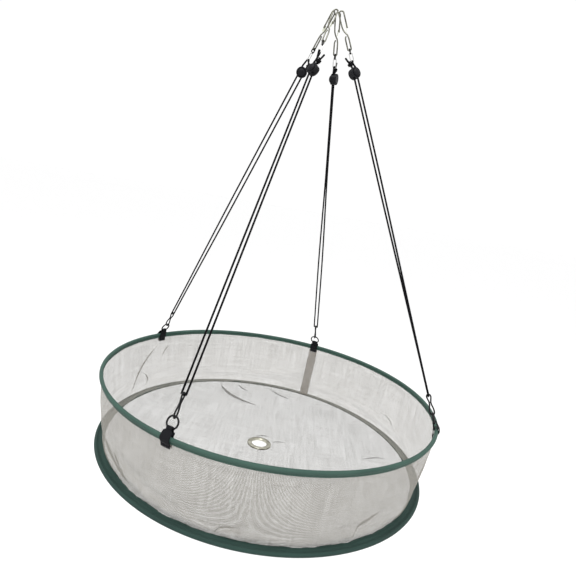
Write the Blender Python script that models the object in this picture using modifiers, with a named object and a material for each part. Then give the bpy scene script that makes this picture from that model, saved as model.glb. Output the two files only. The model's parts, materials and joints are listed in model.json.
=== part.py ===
"""A hanging mesh seed tray: two spring hoops, a mesh wall and floor, and four corded hangers.

Metres, +Z up. The origin is the point that the tray hangs from, on the tray's own axis.
Each hanger has its own frame: its origin is on the top hoop's centre-line, X runs along the
hoop, Y outwards and Z up the taut hanger. Heights in a hanger are distances along that Z.
"""
import math

import bmesh
import bpy
from mathutils import Matrix, Vector

# ---------------------------------------------------------------- tray
HOOP_R = 0.376          # top hoop, wire centre-line
BOTTOM_R = 0.3708       # bottom hoop, wire centre-line
DROP = 0.808            # hang point down to the top hoop
WALL_H = 0.155          # top hoop down to the bottom hoop
WIRE_R = 0.0013         # hoop spring wire
FERRULE_R = 0.0021
FERRULE_BORE_R = 0.0016
FERRULE_L = 0.020
TAPE = 0.0008           # thickness of the binding tape
BINDING_BORE_R = 0.0033
TOP_HEM = 0.0080        # top binding's stitched edge, from the wire down the wall
BOTTOM_HEM = 0.0173     # bottom binding's stitched edge, from the wire in to the floor
MESH = 0.0010
GAP = 0.0003            # left between pieces that touch
HOOP_STEPS = 60
JOIN_AZIMUTH = 87       # degrees, where the hoop wires' ends meet
FLOOR_SAG = 0.0040      # grommet below the bottom wire
GROMMET_R = 0.0285
BARREL_R = 0.0190
BARREL_BORE_R = 0.0180
SEAM_W = 0.0240
FOOT_R = BOTTOM_R - BOTTOM_HEM
SLOPE = math.atan2(HOOP_R - FOOT_R, WALL_H)
FLOOR_Z = -DROP - WALL_H - FLOOR_SAG - MESH / 2

# ---------------------------------------------------------------- hangers
MEET_R = 0.008          # hook centres' distance from the axis, at the hang point
# name: azimuth, strand angle at the lock, at the top bend, lock turn, knot side, lock height,
# hook turn
HANGERS = {
    "front": (246.1, -16, -90, 0, -1, 0.742, 0),
    "left": (148.0, -58, -90, 180, 1, 0.758, 0),
    "back": (72.5, 90, 90, 0, 1, 0.761, 180),
    "right": (344.2, -40, 0, 0, 1, 0.761, -90),
}
LEAN = math.atan2(HOOP_R - MEET_R, DROP)
CHAIN_L = math.hypot(HOOP_R - MEET_R, DROP)

RING_WIRE_R = 0.0017
RING_R = 0.0112
RING_Z = 0.0260
TUNNEL_Z = 0.0155       # middle of the webbing's fold, where the ring turns
LOWER_WIRE_R = 0.0016
LOWER_TOP = 0.0778      # top wire of the figure-eight link
CORD_R = 0.0019
STRAND = 0.0048         # half the distance between the cord's two strands
CORD_TOP = 0.7861
TOP_BEND_R = 0.0031
UPPER_WIRE_R = 0.0008
UPPER_L = 0.0202
BLACK_WIRE_R = 0.0011
BLACK_L = 0.0099
HOOK_WIRE_R = 0.0015
BOW_R = 0.0050
GATE_Z = 0.8458         # the gate's pivot on the hook's neck

# Where each loop hangs on the one below it.
LINK_PIVOT = RING_Z + RING_R
LOWER_BASE = LINK_PIVOT - RING_WIRE_R - LOWER_WIRE_R - GAP
CORD_BASE = LOWER_TOP - LOWER_WIRE_R - CORD_R - GAP
UPPER_BASE = CORD_TOP - CORD_R - UPPER_WIRE_R - GAP
UPPER_TOP = UPPER_BASE + UPPER_L
BLACK_BASE = UPPER_TOP - UPPER_WIRE_R - BLACK_WIRE_R - GAP
BLACK_TOP = BLACK_BASE + BLACK_L
HOOK_BASE = BLACK_TOP - BLACK_WIRE_R - HOOK_WIRE_R - GAP
HOOK_TOP = CHAIN_L + HOOK_WIRE_R
BOW_Z = HOOK_TOP - BOW_R

# Cord lock, about its own press axis.
LOCK_R = 0.0115
LOCK_BORE_R = 0.0086
LOCK_BACK = -0.0086
LOCK_FLOOR = -0.0072
LOCK_FACE = 0.0048
STRAND_HOLE_R = 0.0024
BUTTON_R = 0.0082
BUTTON_BACK = -0.0032
BUTTON_TOP = 0.0096
SLOT_HALF = 0.0071
SLOT_LOW = -0.0023
SLOT_HIGH = 0.0048
SPRING_R = 0.0050
SPRING_WIRE_R = 0.0004
SPRING_TURNS = 2.5


def clear_scene():
    for obj in list(bpy.data.objects):
        bpy.data.objects.remove(obj, do_unlink=True)


def new_collection(name):
    collection = bpy.data.collections.new(name)
    bpy.context.scene.collection.children.link(collection)
    return collection


def material(name, color, roughness, metallic=0.0):
    mat = bpy.data.materials.new(name)
    mat.use_nodes = True
    shader = mat.node_tree.nodes["Principled BSDF"]
    shader.inputs["Base Color"].default_value = (*color, 1.0)
    shader.inputs["Roughness"].default_value = roughness
    shader.inputs["Metallic"].default_value = metallic
    return mat


def add(name, data, mat, collection, parent=None, at=(0, 0, 0), turn=(0, 0, 0)):
    obj = bpy.data.objects.new(name, data)
    collection.objects.link(obj)
    obj.parent = parent
    obj.location = at
    obj.rotation_euler = [math.radians(a) for a in turn]
    data.materials.clear()
    data.materials.append(mat)
    return obj


def profile_mesh(name, profile):
    """A closed outline of (radius, z) points, listed down its outer side first."""
    mesh = bpy.data.meshes.new(name)
    count = len(profile)
    edges = [(i, (i + 1) % count) for i in range(count)]
    mesh.from_pydata([(r, 0, z) for r, z in profile], edges, [])
    return mesh


def screw(obj, steps):
    turn = obj.modifiers.new("turned", "SCREW")
    turn.steps = steps
    turn.render_steps = steps
    turn.use_merge_vertices = True
    turn.merge_threshold = 0.00001
    turn.use_smooth_shade = True


def turned(name, profile, steps, mat, collection, parent=None, at=(0, 0, 0), turn=(0, 0, 0)):
    obj = add(name, profile_mesh(name, profile), mat, collection, parent, at, turn)
    screw(obj, steps)
    return obj


def tube_curve(name, points, radius, cyclic=False, resolution=1, swell=None):
    """A round wire or cord through the points; swell gives each point's thickness."""
    curve = bpy.data.curves.new(name, "CURVE")
    curve.dimensions = "3D"
    curve.bevel_depth = radius
    curve.bevel_resolution = resolution
    curve.use_fill_caps = True
    spline = curve.splines.new("POLY")
    spline.points.add(len(points) - 1)
    for index, point in enumerate(points):
        spline.points[index].co = (*point, 1)
        spline.points[index].radius = swell[index] if swell else 1.0
    spline.use_cyclic_u = cyclic
    return curve


def arc(center, radius, start, end, count):
    """Plane points from start to end degrees, both included."""
    angles = [math.radians(start + (end - start) * i / (count - 1)) for i in range(count)]
    return [(center[0] + radius * math.cos(a), center[1] + radius * math.sin(a)) for a in angles]


def solid(obj, collection):
    """The object's evaluated shape as a welded mesh of its own."""
    bpy.context.view_layer.update()
    graph = bpy.context.evaluated_depsgraph_get()
    mesh = bpy.data.meshes.new_from_object(obj.evaluated_get(graph))
    welded = bmesh.new()
    welded.from_mesh(mesh)
    bmesh.ops.remove_doubles(welded, verts=welded.verts, dist=0.00001)
    welded.to_mesh(mesh)
    welded.free()
    name = obj.name
    matrix = obj.matrix_world.copy()
    bpy.data.objects.remove(obj)
    result = bpy.data.objects.new(name, mesh)
    collection.objects.link(result)
    result.matrix_world = matrix
    return result


def cut(obj, cutter):
    """Takes the cutter out of the object."""
    cutter.hide_render = True
    cutter.display_type = "WIRE"
    hole = obj.modifiers.new("cut", "BOOLEAN")
    hole.operation = "DIFFERENCE"
    hole.object = cutter


def primitive(name, build, collection):
    mesh = bpy.data.meshes.new(name)
    shape = bmesh.new()
    build(shape)
    shape.to_mesh(mesh)
    shape.free()
    obj = bpy.data.objects.new(name, mesh)
    collection.objects.link(obj)
    return obj


# ---------------------------------------------------------------- tray

def binding_profile(radius, height, hem, degrees):
    """A tape folded round the wire, its two edges running out beside a slot.

    The hem runs straight up from the wire at 0 degrees and inwards at 90.
    """
    slot = MESH / 2 + GAP
    outer_r = BINDING_BORE_R + TAPE
    leg = slot + TAPE
    outer_start = math.degrees(math.acos(leg / outer_r))
    inner_start = math.degrees(math.acos(slot / BINDING_BORE_R))
    outer = arc((0, 0), outer_r, outer_start, -180 - outer_start, 7)
    inner = arc((0, 0), BINDING_BORE_R, -180 - inner_start, inner_start, 6)
    loop = [(leg, hem)] + outer + [(-leg, hem), (-slot, hem)] + inner + [(slot, hem)]
    cos = math.cos(math.radians(degrees))
    sin = math.sin(math.radians(degrees))
    return [(radius + x * cos - z * sin, height + x * sin + z * cos) for x, z in loop]


def hoop_wire(name, radius, height, mat, parts):
    """A spring wire ring, open by a hair inside its ferrule."""
    step = 360 / HOOP_STEPS
    apothem = radius * math.cos(math.radians(step / 2))
    join = math.radians(JOIN_AZIMUTH)
    along = Vector((-math.sin(join), math.cos(join), 0))
    middle = Vector((apothem * math.cos(join), apothem * math.sin(join), height))
    points = [middle + along * GAP]
    for i in range(HOOP_STEPS):
        angle = join + math.radians(step * (i + 0.5))
        points.append(Vector((radius * math.cos(angle), radius * math.sin(angle), height)))
    points.append(middle - along * GAP)
    add(name, tube_curve(name, points, WIRE_R), mat, parts)
    ferrule = [(FERRULE_R, FERRULE_L / 2), (FERRULE_R, -FERRULE_L / 2),
               (FERRULE_BORE_R, -FERRULE_L / 2), (FERRULE_BORE_R, FERRULE_L / 2)]
    turned(name.replace("wire", "ferrule"), ferrule, 10, mat, parts, None, middle,
           (90, 0, JOIN_AZIMUTH))


def sheet_profile(line, thickness):
    """The closed outline of a sheet, offset to both sides of its middle line."""
    points = [Vector(p) for p in line]
    left, right = [], []
    for index, point in enumerate(points):
        before = points[max(index - 1, 0)]
        after = points[min(index + 1, len(points) - 1)]
        along = (after - before).normalized()
        side = Vector((-along.y, along.x)) * thickness / 2
        left.append(tuple(point + side))
        right.append(tuple(point - side))
    return left + right[::-1]


def side_mesh(mat, parts):
    """The wall, down from inside the top binding and out into the bottom one's hem."""
    hidden = BINDING_BORE_R + GAP
    start = (HOOP_R - hidden * math.sin(SLOPE), -DROP - hidden * math.cos(SLOPE))
    bend = MESH / 2 + GAP
    corner = (FOOT_R, -DROP - WALL_H + bend)
    line = [start] + arc(corner, bend, 180, 270, 4)
    line.append((BOTTOM_R - hidden, -DROP - WALL_H))
    turned("side_mesh", sheet_profile(line, MESH), HOOP_STEPS, mat, parts)


def wall_radius(depth):
    """Wall centre-line radius at a depth below the top hoop."""
    return HOOP_R - (HOOP_R - FOOT_R) * depth / WALL_H


def seam_strip(mat, parts):
    """The wall strip's overlapped ends, sewn flat against the inside below the back tab."""
    azimuth = HANGERS["back"][0]
    high = 0.0215
    low = WALL_H - 0.0060
    inset = MESH / 2 + 0.0023
    middle = (high + low) / 2
    strip = primitive("side_seam_strip", lambda b: bmesh.ops.create_cube(b, size=1), parts)
    strip.data.transform(Matrix.Diagonal((0.0008, SEAM_W, low - high, 1)))
    strip.data.materials.append(mat)
    radius = wall_radius(middle) - inset
    turn = math.radians(azimuth)
    strip.location = (radius * math.cos(turn), radius * math.sin(turn), -DROP - middle)
    strip.rotation_euler = (0, SLOPE, turn)


def floor_mesh(mat, parts):
    """A shallow dish, flat under the grommet."""
    rim = -DROP - WALL_H - MESH / 2
    edge = FOOT_R - MESH - 2 * GAP
    hole = BARREL_R + 2 * GAP
    flat = GROMMET_R + 0.004
    under = [(edge, rim), (flat, FLOOR_Z), (hole, FLOOR_Z)]
    profile = [(edge, rim + MESH)] + under + [(r, z + MESH) for r, z in under[:0:-1]]
    turned("floor_mesh", profile, HOOP_STEPS, mat, parts)


def grommet(mat, parts):
    """An eyelet through the floor, rolled over a washer below it."""
    top = FLOOR_Z + MESH + GAP
    under = FLOOR_Z - GAP
    washer_t = 0.0008
    roll = under - washer_t - GAP
    eyelet = [(GROMMET_R - 0.0015, top + 0.0011), (GROMMET_R, top), (BARREL_R, top),
              (BARREL_R, roll), (BARREL_R + 0.0027, roll), (BARREL_R + 0.0020, roll - 0.0010),
              (BARREL_BORE_R + 0.0005, roll - 0.0012), (BARREL_BORE_R, roll),
              (BARREL_BORE_R, top + 0.0010), (BARREL_BORE_R + 0.0012, top + 0.0018)]
    turned("grommet_eyelet", eyelet, 32, mat, parts)
    hole = BARREL_R + GAP
    dished = under - washer_t + 0.0002
    washer = [(GROMMET_R, under), (GROMMET_R, under - washer_t),
              (BARREL_R + 0.0033, under - washer_t), (hole, dished), (hole, under)]
    turned("grommet_washer", washer, 32, mat, parts)


# ---------------------------------------------------------------- hanger pieces

def hanger_frame(name, azimuth, parts):
    """An empty on the top hoop's centre-line, with Z up the taut hanger."""
    turn = math.radians(azimuth)
    outward = Vector((math.cos(turn), math.sin(turn), 0))
    along = Vector((-math.sin(turn), math.cos(turn), 0))
    up = Vector((0, 0, 1))
    z_axis = up * math.cos(LEAN) - outward * math.sin(LEAN)
    y_axis = outward * math.cos(LEAN) + up * math.sin(LEAN)
    frame = Matrix((-along, y_axis, z_axis)).transposed().to_4x4()
    frame.translation = outward * HOOP_R - up * DROP
    empty = bpy.data.objects.new(name + "_hanger", None)
    parts.objects.link(empty)
    empty.matrix_world = frame
    return empty


def webbing_mesh():
    """Webbing down the inside of the hoop, up and round the ring, and down the outside."""
    fold_r = 0.0040
    shoulder = (0.0044, 0.0100)
    neck = BINDING_BORE_R + TAPE + 0.0017
    tail = 0.0170
    lean = Matrix.Rotation(-LEAN - SLOPE, 3, "X")
    fold = [(y, TUNNEL_Z + z) for y, z in arc((0, 0), fold_r, -35, 215, 9)]
    outside = [(0.0024, -tail), (0.0031, -0.0095), (neck, -0.0030), (neck, 0.0030)]
    inside = [(-y, z) for y, z in reversed(outside)]
    hoop_side = [lean @ Vector((0, y, z)) for y, z in outside]
    hoop_side = [(v.y, v.z) for v in hoop_side]
    inner_side = [lean @ Vector((0, y, z)) for y, z in inside]
    inner_side = [(v.y, v.z) for v in inner_side]
    line = hoop_side + [shoulder] + fold + [(-shoulder[0], shoulder[1])] + inner_side
    mesh = bpy.data.meshes.new("webbing_tab")
    strip = bmesh.new()
    rows = []
    for y, z in line:
        half = 0.010 if z < shoulder[1] + 0.001 else 0.0060
        rows.append([strip.verts.new((x, y, z)) for x in (-half, half)])
    for low, high in zip(rows, rows[1:]):
        strip.faces.new((low[0], low[1], high[1], high[0]))
    strip.to_mesh(mesh)
    strip.free()
    return mesh


def webbing_tab(name, mesh, mat, parts, frame):
    tab = add(name, mesh, mat, parts, frame)
    thick = tab.modifiers.new("thickness", "SOLIDIFY")
    thick.thickness = 0.0014
    thick.offset = 0


def oval_loop(half, base, top, count):
    """A closed loop in the XZ plane: straight sides and round ends."""
    low = arc((0, base + half), half, 180, 360, count)
    high = arc((0, top - half), half, 0, 180, count)
    return [(x, 0, z) for x, z in low + high]


def lower_link_points(pivot):
    """Figure-eight in the YZ plane, its waist pinched until the sides nearly touch."""
    waist = LOWER_WIRE_R + GAP / 2
    side = [(0.0022, LOWER_BASE + 0.0006), (0.0041, LOWER_BASE + 0.0030), (0.0045, 0.0415),
            (0.0038, 0.0480), (0.0022, 0.0545), (waist, 0.0585), (0.0019, 0.0622),
            (0.0033, 0.0675), (0.0041, 0.0720), (0.0038, 0.0752), (0.0020, LOWER_TOP - 0.0004)]
    right = [(0, y, z) for y, z in side]
    left = [(0, -y, z) for y, z in reversed(side)]
    loop = [(0, 0, LOWER_BASE)] + right + [(0, 0, LOWER_TOP)] + left
    return [(x, y, z - pivot) for x, y, z in loop]


def ease(x):
    x = min(max(x, 0), 1)
    return x * x * (3 - 2 * x)


def strand_angle(z, at_lock, at_top, lock_z):
    """How far the two strands have turned about each other at this height, in degrees."""
    lower = at_lock * ease((z - 0.100) / 0.500)
    start = lock_z + 0.011
    return lower + (at_top - at_lock) * ease((z - start) / (CORD_TOP - TOP_BEND_R - start))


def around(offset, degrees, z):
    turn = math.radians(degrees)
    return Vector((offset * math.cos(turn), offset * math.sin(turn), z))


def cord_route(at_lock, at_top, knot_side, lock_z):
    """The tail, the knot, one strand down, the loop on the link, and the other up and over."""
    side = knot_side
    bend_z = CORD_TOP - TOP_BEND_R
    lock_top = lock_z + 0.0125
    knot_z = lock_z + 0.0175
    low_z = CORD_BASE + STRAND
    tail = [(0.0165, knot_z + 0.0130), (0.0135, knot_z + 0.0085), (0.0103, knot_z + 0.0042)]
    points = [around(side * x, at_lock, z) for x, z in tail]
    swell = [0.9, 1.0, 1.1]
    points.append(around(side * 0.0078, at_lock, knot_z))
    swell.append(2.0)
    points.append(around(side * 0.0056, at_lock, knot_z - 0.0033))
    heights = [lock_top, lock_z, 0.735, 0.680, 0.625, 0.580, 0.535, 0.490, 0.445, 0.400,
               0.355, 0.310, 0.265, 0.220, 0.175, 0.125, low_z]
    for z in heights:
        points.append(around(side * STRAND, strand_angle(z, at_lock, at_top, lock_z), z))
    for x, z in arc((0, low_z), STRAND, 0, -180, 7)[1:-1]:
        points.append(Vector((side * x, 0, z)))
    for z in reversed(heights):
        points.append(around(-side * STRAND, strand_angle(z, at_lock, at_top, lock_z), z))
    middle = (lock_top + bend_z) / 2
    half = (STRAND + TOP_BEND_R) / 2
    points.append(around(-side * half, strand_angle(middle, at_lock, at_top, lock_z), middle))
    for x, z in arc((0, bend_z), TOP_BEND_R, 180, 0, 7):
        points.append(around(side * x, at_top, z))
    swell.extend([1.0] * (len(points) - len(swell)))
    return points, swell


def cord(name, frame, mat, parts, at_lock, at_top, knot_side, lock_z):
    points, swell = cord_route(at_lock, at_top, knot_side, lock_z)
    base = Vector((0, 0, CORD_BASE))
    curve = tube_curve(name, [p - base for p in points], CORD_R, resolution=2, swell=swell)
    add(name, curve, mat, parts, frame, base)


def lock_body_mesh(cutters):
    """A round cup with two holes across it, one for each strand."""
    rim = 0.0012
    profile = [(LOCK_R, LOCK_FACE - rim), (LOCK_R, LOCK_BACK + rim), (LOCK_R - rim, LOCK_BACK),
               (0, LOCK_BACK), (0, LOCK_FLOOR), (LOCK_BORE_R, LOCK_FLOOR),
               (LOCK_BORE_R, LOCK_FACE), (LOCK_R - rim, LOCK_FACE)]
    return drilled("lock_body", profile, 20, cutters, strand_holes)


def button_mesh(cutters):
    """A domed plunger with one wide slot that takes both strands."""
    profile = [(0, BUTTON_TOP), (0.0045, BUTTON_TOP - 0.0006), (0.0070, BUTTON_TOP - 0.0021),
               (BUTTON_R, BUTTON_TOP - 0.0040), (BUTTON_R, BUTTON_BACK), (0, BUTTON_BACK)]
    return drilled("lock_button", profile, 20, cutters, button_slot)


def strand_holes(cutters):
    tools = []
    for x in (-STRAND, STRAND):
        tool = primitive("strand_hole", strand_tool, cutters)
        tool.location = (x, 0, 0)
        tool.rotation_euler = (math.pi / 2, 0, 0)
        tools.append(tool)
    return tools


def strand_tool(shape):
    bmesh.ops.create_cone(shape, cap_ends=True, segments=8, radius1=STRAND_HOLE_R,
                          radius2=STRAND_HOLE_R, depth=0.030)


def button_slot(cutters):
    tool = primitive("button_slot", lambda b: bmesh.ops.create_cube(b, size=1), cutters)
    tool.data.transform(Matrix.Diagonal((2 * SLOT_HALF, 0.030, SLOT_HIGH - SLOT_LOW, 1)))
    tool.location = (0, 0, (SLOT_HIGH + SLOT_LOW) / 2)
    return [tool]


def drilled(name, profile, steps, cutters, make_tools):
    """A turned piece with its holes cut, as one mesh that the four locks share."""
    blank = bpy.data.objects.new(name, profile_mesh(name, profile))
    cutters.objects.link(blank)
    screw(blank, steps)
    for tool in make_tools(cutters):
        cut(blank, tool)
    shaped = solid(blank, cutters)
    mesh = shaped.data
    bpy.data.objects.remove(shaped)
    return mesh


def spring_points():
    low = LOCK_FLOOR + GAP + SPRING_WIRE_R
    high = BUTTON_BACK - GAP - SPRING_WIRE_R
    count = int(SPRING_TURNS * 8)
    points = []
    for i in range(count + 1):
        turn = math.tau * SPRING_TURNS * i / count
        z = low + (high - low) * i / count
        points.append((SPRING_R * math.cos(turn), SPRING_R * math.sin(turn), z))
    return points


def cord_lock(name, frame, mats, meshes, parts, turn, lock_z):
    """Body, plunger and spring; the press axis lies across the hanger."""
    at = (0, 0, lock_z)
    pose = (-90, 0, turn)
    add(name + "_lock_body", meshes["body"], mats["plastic"], parts, frame, at, pose)
    add(name + "_lock_button", meshes["button"], mats["plastic"], parts, frame, at, pose)
    spring = tube_curve(name + "_lock_spring", spring_points(), SPRING_WIRE_R, resolution=0)
    add(name + "_lock_spring", spring, mats["spring"], parts, frame, at, pose)


def hook_points(pivot):
    """A long narrow eye closed at the neck, then a shank and a round bow with a free leg."""
    eye = 0.0035
    neck_z = 0.8400
    eye_end = [(0.0014, 0.8375), (0.0029, 0.8345), (eye, 0.8300)]
    bottom = arc((0, HOOK_BASE + eye), eye, 0, -180, 7)
    back = [(-eye, 0.8300), (-0.0029, 0.8355), (-0.0019, neck_z), (0.0010, 0.8450),
            (BOW_R - 0.0004, 0.8560)]
    bow = arc((0, BOW_Z), BOW_R, 0, 180, 9)
    free = [(-BOW_R, 0.8570), (-BOW_R - 0.0006, 0.8535)]
    return [(x, 0, z - pivot) for x, z in eye_end + bottom + back + bow + free]


def gate_mesh():
    """A leaf from the neck to the inside of the free leg, in its hook's own plane."""
    thick = 0.0006
    reach = 0.0122
    outline = bmesh.new()
    bmesh.ops.create_cube(outline, size=1)
    shape = Matrix.Diagonal((thick, 0.0050, reach, 1))
    tilt = Matrix.Rotation(math.radians(-6), 4, "Y")
    lift = Matrix.Translation((-0.0019, 0, reach / 2 + 0.0006))
    outline.transform(tilt @ lift @ shape)
    mesh = bpy.data.meshes.new("hook_gate")
    outline.to_mesh(mesh)
    outline.free()
    return mesh


def pivots(at_top):
    """Pivot heights of the upper link, black link and hook.

    Where the turned loop's own wire lies along the hinge it turns in place, and otherwise it
    turns about the wire that it hangs on.
    """
    if at_top:
        return UPPER_BASE, UPPER_TOP, HOOK_BASE
    return CORD_TOP, BLACK_BASE, BLACK_TOP


def build_hanger(name, mats, meshes, parts):
    azimuth, at_lock, at_top, lock_turn, knot_side, lock_z, hook_turn = HANGERS[name]
    frame = hanger_frame(name, azimuth, parts)
    webbing_tab(name + "_webbing_tab", meshes["tab"], mats["webbing"], parts, frame)

    ring = [(x, 0, z + RING_Z - TUNNEL_Z) for x, z in arc((0, 0), RING_R, 0, 342, 20)]
    ring = tube_curve(name + "_tab_ring", ring, RING_WIRE_R, cyclic=True)
    add(name + "_tab_ring", ring, mats["black"], parts, frame, (0, 0, TUNNEL_Z))

    lower = tube_curve(name + "_lower_link", lower_link_points(LINK_PIVOT), LOWER_WIRE_R, True)
    add(name + "_lower_link", lower, mats["black"], parts, frame, (0, 0, LINK_PIVOT))

    cord(name + "_cord", frame, mats["cord"], parts, at_lock, at_top, knot_side, lock_z)
    cord_lock(name, frame, mats, meshes, parts, at_lock + lock_turn, lock_z)

    upper_at, black_at, hook_at = pivots(at_top)
    upper = oval_loop(0.0032, UPPER_BASE - upper_at, UPPER_TOP - upper_at, 7)
    upper = tube_curve(name + "_upper_link", upper, UPPER_WIRE_R, True)
    add(name + "_upper_link", upper, mats["steel"], parts, frame, (0, 0, upper_at),
        (0, 0, at_top + 90))

    black = oval_loop(0.0033, BLACK_BASE - black_at, BLACK_TOP - black_at, 7)
    black = tube_curve(name + "_black_link", black, BLACK_WIRE_R, True)
    add(name + "_black_link", black, mats["black"], parts, frame, (0, 0, black_at),
        (0, 0, at_top))

    hook = tube_curve(name + "_snap_hook", hook_points(hook_at), HOOK_WIRE_R)
    add(name + "_snap_hook", hook, mats["steel"], parts, frame, (0, 0, hook_at),
        (0, 0, hook_turn))
    add(name + "_hook_gate", meshes["gate"], mats["steel"], parts, frame, (0, 0, GATE_Z),
        (0, 0, hook_turn))


def build():
    clear_scene()
    parts = new_collection("hanging_seed_tray")
    cutters = new_collection("cutters")
    mats = {
        "binding": material("binding", (0.06, 0.16, 0.11), 0.8),
        "mesh": material("mesh", (0.55, 0.54, 0.51), 0.7),
        "webbing": material("webbing", (0.012, 0.012, 0.013), 0.85),
        "cord": material("cord", (0.010, 0.010, 0.011), 0.7),
        "black": material("blackened steel", (0.02, 0.02, 0.022), 0.35, 0.8),
        "plastic": material("black plastic", (0.018, 0.018, 0.019), 0.45),
        "steel": material("bright steel", (0.62, 0.61, 0.56), 0.25, 1.0),
        "spring": material("spring steel", (0.42, 0.42, 0.43), 0.35, 1.0),
    }
    hoop_wire("top_hoop_wire", HOOP_R, -DROP, mats["spring"], parts)
    hoop_wire("bottom_hoop_wire", BOTTOM_R, -DROP - WALL_H, mats["spring"], parts)
    down_wall = 180 - math.degrees(SLOPE)
    turned("top_binding", binding_profile(HOOP_R, -DROP, TOP_HEM, down_wall), HOOP_STEPS,
           mats["binding"], parts)
    turned("bottom_binding", binding_profile(BOTTOM_R, -DROP - WALL_H, BOTTOM_HEM, 90),
           HOOP_STEPS, mats["binding"], parts)
    side_mesh(mats["mesh"], parts)
    seam_strip(mats["mesh"], parts)
    floor_mesh(mats["mesh"], parts)
    grommet(mats["steel"], parts)
    meshes = {
        "tab": webbing_mesh(),
        "body": lock_body_mesh(cutters),
        "button": button_mesh(cutters),
        "gate": gate_mesh(),
    }
    for name in HANGERS:
        build_hanger(name, mats, meshes, parts)


build()
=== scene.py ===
"""The looks of the hanging mesh seed tray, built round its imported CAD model. Metres, +Z up."""
import json
import math
import random

import bmesh
import bpy
from mathutils import Matrix, Vector, noise


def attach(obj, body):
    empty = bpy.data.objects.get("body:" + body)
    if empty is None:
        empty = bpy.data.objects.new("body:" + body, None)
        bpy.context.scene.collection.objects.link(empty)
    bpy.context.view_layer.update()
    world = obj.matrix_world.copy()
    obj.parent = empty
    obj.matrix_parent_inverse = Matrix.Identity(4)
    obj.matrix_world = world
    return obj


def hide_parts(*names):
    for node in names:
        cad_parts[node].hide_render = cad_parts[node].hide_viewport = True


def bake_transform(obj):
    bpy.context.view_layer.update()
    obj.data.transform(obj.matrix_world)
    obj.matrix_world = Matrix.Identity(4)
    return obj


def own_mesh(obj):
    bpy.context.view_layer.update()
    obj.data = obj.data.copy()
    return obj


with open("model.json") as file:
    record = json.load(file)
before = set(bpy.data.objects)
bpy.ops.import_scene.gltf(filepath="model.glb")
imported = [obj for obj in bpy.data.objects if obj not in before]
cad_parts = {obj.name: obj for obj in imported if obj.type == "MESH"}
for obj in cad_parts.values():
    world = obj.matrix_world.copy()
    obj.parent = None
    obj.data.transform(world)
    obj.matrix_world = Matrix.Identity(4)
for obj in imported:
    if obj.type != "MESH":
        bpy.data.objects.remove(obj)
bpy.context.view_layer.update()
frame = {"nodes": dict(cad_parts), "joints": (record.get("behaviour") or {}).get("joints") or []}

# ------------ sizes shared with the CAD model
HOOP_R = 0.376
BOTTOM_R = 0.3708
TOP_Z = -0.808
WALL_H = 0.155
BOTTOM_Z = TOP_Z - WALL_H
FLOOR_Z = BOTTOM_Z - 0.0040
TUBE_R = 0.0041          # binding round the wire
TOP_HEM = 0.0080
BOTTOM_HEM = 0.0173
SLOPE = math.atan2(HOOP_R - BOTTOM_R + BOTTOM_HEM, WALL_H)
SEAM_W = 0.024           # overlap of the wall strip's two ends
GROMMET_R = 0.0285
BARREL_R = 0.0190
BARREL_BORE_R = 0.0180
# azimuth, strand angle at the lock, at the top bend, lock turn, knot side, lock height, hook turn
HANGERS = {
    "front": (246.1, -16, -90, 0, -1, 0.742, 0),
    "left": (148.0, -58, -90, 180, 1, 0.758, 0),
    "back": (72.5, 90, 90, 0, 1, 0.761, 180),
    "right": (344.2, -40, 0, 0, 1, 0.761, -90),
}
MEET_R = 0.008
TUNNEL_Z = 0.0155
FOLD_R = 0.0040          # middle of the webbing's fold
SHOULDER = (0.0044, 0.0100)
RING_Z = 0.0260
RING_R = 0.0112
RING_WIRE_R = 0.0017
LOWER_WIRE_R = 0.0016
LOWER_BASE = 0.0336
LOWER_TOP = 0.0778
CORD_R = 0.0019
STRAND = 0.0048
CORD_BASE = 0.0740
CORD_TOP = 0.7861
TOP_BEND_R = 0.0031
CORD_BEND_Z = CORD_TOP - TOP_BEND_R
UPPER_WIRE_R = 0.0008
BLACK_WIRE_R = 0.00135
UPPER_BASE = 0.7831
UPPER_TOP = 0.8033
BLACK_BASE = 0.8011
BLACK_TOP = 0.8110
HOOK_BASE = 0.8081
BOW_R = 0.0050
HOOK_WIRE_R = 0.0015
GATE_Z = 0.8458
BOW_TOP = math.hypot(HOOP_R - MEET_R, TOP_Z) + HOOK_WIRE_R

# ------------ sizes of the finer detail
MOST_RISE = 16           # degrees that the wall pulls the lower hem's inner edge up, at the back
NET_PITCH = 0.0014
NET_COVER = 0.57         # share of what is behind the netting that its threads hide
WALL_START = 0.0046      # from the top wire down to the wall's edge
WALL_TURN = 0.0008       # where the wall turns out into the lower hem
WALL_STEPS = 18
TOP_WAVE = 0.0008
BOTTOM_WAVE = 0.0026
TOP_INSET = 0.0018       # stitches in from the hem's edge
BOTTOM_INSET = 0.0022
STITCH_PITCH = 0.0042
STITCH_HALF = 0.0015
STITCH_R = 0.00028
WEBBING_HALF = 0.0100
WEBBING_NECK = 0.0060    # half width where the ring hangs in the fold
WEBBING_THICK = 0.00068  # half of it
SETTLE_FRAMES = 26
CLOTH_STIFFNESS = 12.0
LOCK_TOP = 0.0125        # above the lock's middle, as are the next two
STRANDS_PART = 0.0110
KNOT_RISE = 0.0175
KNOT_OUT = 0.0078        # the knot's middle, out from the hanger's line
STUDIO_DROP = 0.8        # from the tray down to the studio's floor


# ------------ camera and light

def linked(name, data):
    obj = bpy.data.objects.new(name, data)
    bpy.context.scene.collection.objects.link(obj)
    return obj


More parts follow.
